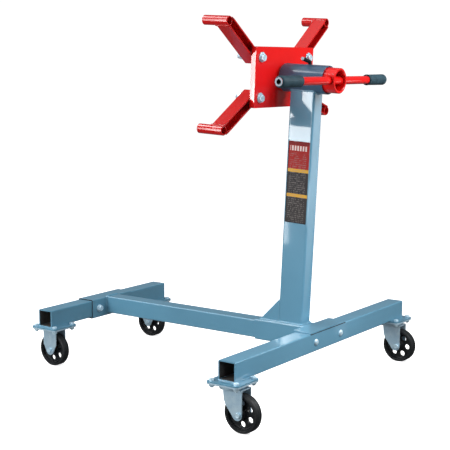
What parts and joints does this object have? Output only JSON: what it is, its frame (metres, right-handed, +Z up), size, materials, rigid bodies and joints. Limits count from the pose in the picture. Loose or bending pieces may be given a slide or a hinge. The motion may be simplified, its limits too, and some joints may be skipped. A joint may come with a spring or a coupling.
{
  "type": "engine stand",
  "caption": "Wheeled stand with an I-shaped tube base, leaning mast and rotating head with four swinging mounting arms and a sliding handle.",
  "frame": {"origin": "on the floor under the middle of the overall box", "axes": "+Z up, +Y towards the person at the handle (rear), -Y towards the engine, +X to that person's left as they look forward"},
  "size_m": [0.924, 0.911, 1.0216],
  "materials": {
    "blue_paint": "gloss",
    "red_paint": "gloss",
    "zinc_bolts": "bright",
    "zinc_casters": "satin",
    "bearing_steel": "polished",
    "pin_steel": "black oxide",
    "wheel_plastic": "semi-gloss",
    "tyre_rubber": "satin",
    "grip_vinyl": "satin",
    "label_film": "satin"
  },
  "bodies": {
    "base": {"axle_bolts_front": "zinc_bolts", "axle_nuts_front": "zinc_bolts", "beam_bolts": "zinc_bolts", "beam_nuts": "zinc_bolts", "caster_bolts": "zinc_bolts", "caster_nuts": "zinc_bolts", "caster_pad_front_left": "blue_paint", "caster_pad_front_right": "blue_paint", "caster_pad_rear_left": "blue_paint", "caster_pad_rear_right": "blue_paint", "front_crossbar": "blue_paint", "front_sleeve": "blue_paint", "head_housing": "blue_paint", "kingpins": "zinc_casters", "mast_gusset": "blue_paint", "mast_label": "label_film", "mast_tube": "blue_paint", "rear_crossbeam": "blue_paint", "rear_socket": "blue_paint", "rigid_fork_left": "zinc_casters", "rigid_fork_right": "zinc_casters", "saddle_bracket": "blue_paint", "sleeve_bolts": "zinc_bolts", "sleeve_nuts": "zinc_bolts", "sleeve_washers": "zinc_bolts", "spine_tube": "blue_paint", "swivel_balls": "bearing_steel", "swivel_plate_left": "zinc_casters", "swivel_plate_right": "zinc_casters"},
    "head": {"head_tube": "red_paint", "mounting_plate": "red_paint", "arm_bolts": "zinc_bolts", "plate_washers": "zinc_bolts", "arm_nuts": "zinc_bolts"},
    "handle": {"handle_bar": "red_paint", "grip_left": "grip_vinyl", "grip_right": "grip_vinyl"},
    "lock_pin": {"lock_pin": "pin_steel"},
    "arm_upper_left": {"arm_channel_upper_left": "red_paint", "arm_tube_upper_left": "red_paint"},
    "arm_upper_right": {"arm_channel_upper_right": "red_paint", "arm_tube_upper_right": "red_paint"},
    "arm_lower_left": {"arm_channel_lower_left": "red_paint", "arm_tube_lower_left": "red_paint"},
    "arm_lower_right": {"arm_channel_lower_right": "red_paint", "arm_tube_lower_right": "red_paint"},
    "swivel_left": {"swivel_fork_left": "zinc_casters", "axle_bolt_rear_left": "zinc_bolts", "axle_nut_rear_left": "zinc_bolts"},
    "wheel_rear_left": {"wheel_rear_left": "wheel_plastic", "tyre_rear_left": "tyre_rubber"},
    "wheel_front_left": {"wheel_front_left": "wheel_plastic", "tyre_front_left": "tyre_rubber"},
    "swivel_right": {"swivel_fork_right": "zinc_casters", "axle_bolt_rear_right": "zinc_bolts", "axle_nut_rear_right": "zinc_bolts"},
    "wheel_rear_right": {"wheel_rear_right": "wheel_plastic", "tyre_rear_right": "tyre_rubber"},
    "wheel_front_right": {"wheel_front_right": "wheel_plastic", "tyre_front_right": "tyre_rubber"}
  },
  "joints": [
    {"name": "head_rotation", "type": "hinge", "parent": "base", "child": "head", "pos_m": [0, 0.32494, 0.84988], "axis": [0, 0.9986, -0.0523], "continuous": true},
    {"name": "handle_slide", "type": "slide", "parent": "head", "child": "handle", "axis": [1, 0, 0], "range_m": [-0.138, 0.138]},
    {"name": "lock_pin_slide", "type": "slide", "parent": "base", "child": "lock_pin", "axis": [0, 0.0523, 0.9986], "range_m": [0, 0.012]},
    {"name": "arm_swing_upper_left", "type": "hinge", "parent": "head", "child": "arm_upper_left", "pos_m": [0.115, 0.22086, 0.90841], "axis": [0, -0.9986, 0.0523], "range_deg": [-35, 40]},
    {"name": "arm_swing_upper_right", "type": "hinge", "parent": "head", "child": "arm_upper_right", "pos_m": [-0.115, 0.22086, 0.90841], "axis": [0, -0.9986, 0.0523], "range_deg": [-36, 39]},
    {"name": "arm_swing_lower_left", "type": "hinge", "parent": "head", "child": "arm_lower_left", "pos_m": [0.115, 0.21531, 0.80256], "axis": [0, -0.9986, 0.0523], "range_deg": [-43, 32]},
    {"name": "arm_swing_lower_right", "type": "hinge", "parent": "head", "child": "arm_lower_right", "pos_m": [-0.115, 0.21531, 0.80256], "axis": [0, -0.9986, 0.0523], "range_deg": [-18, 57]},
    {"name": "swivel_turn_left", "type": "hinge", "parent": "base", "child": "swivel_left", "pos_m": [0.414, 0.3755, 0.11], "axis": [0, 0, 1], "continuous": true},
    {"name": "swivel_turn_right", "type": "hinge", "parent": "base", "child": "swivel_right", "pos_m": [-0.414, 0.3755, 0.11], "axis": [0, 0, 1], "continuous": true},
    {"name": "wheel_spin_rear_left", "type": "hinge", "parent": "swivel_left", "child": "wheel_rear_left", "pos_m": [0.414, 0.4065, 0.049], "axis": [1, 0, 0], "continuous": true},
    {"name": "wheel_spin_front_left", "type": "hinge", "parent": "base", "child": "wheel_front_left", "pos_m": [0.227, -0.4065, 0.049], "axis": [1, 0, 0], "continuous": true},
    {"name": "wheel_spin_rear_right", "type": "hinge", "parent": "swivel_right", "child": "wheel_rear_right", "pos_m": [-0.414, 0.4065, 0.049], "axis": [1, 0, 0], "continuous": true},
    {"name": "wheel_spin_front_right", "type": "hinge", "parent": "base", "child": "wheel_front_right", "pos_m": [-0.227, -0.4065, 0.049], "axis": [1, 0, 0], "continuous": true}
  ]
}
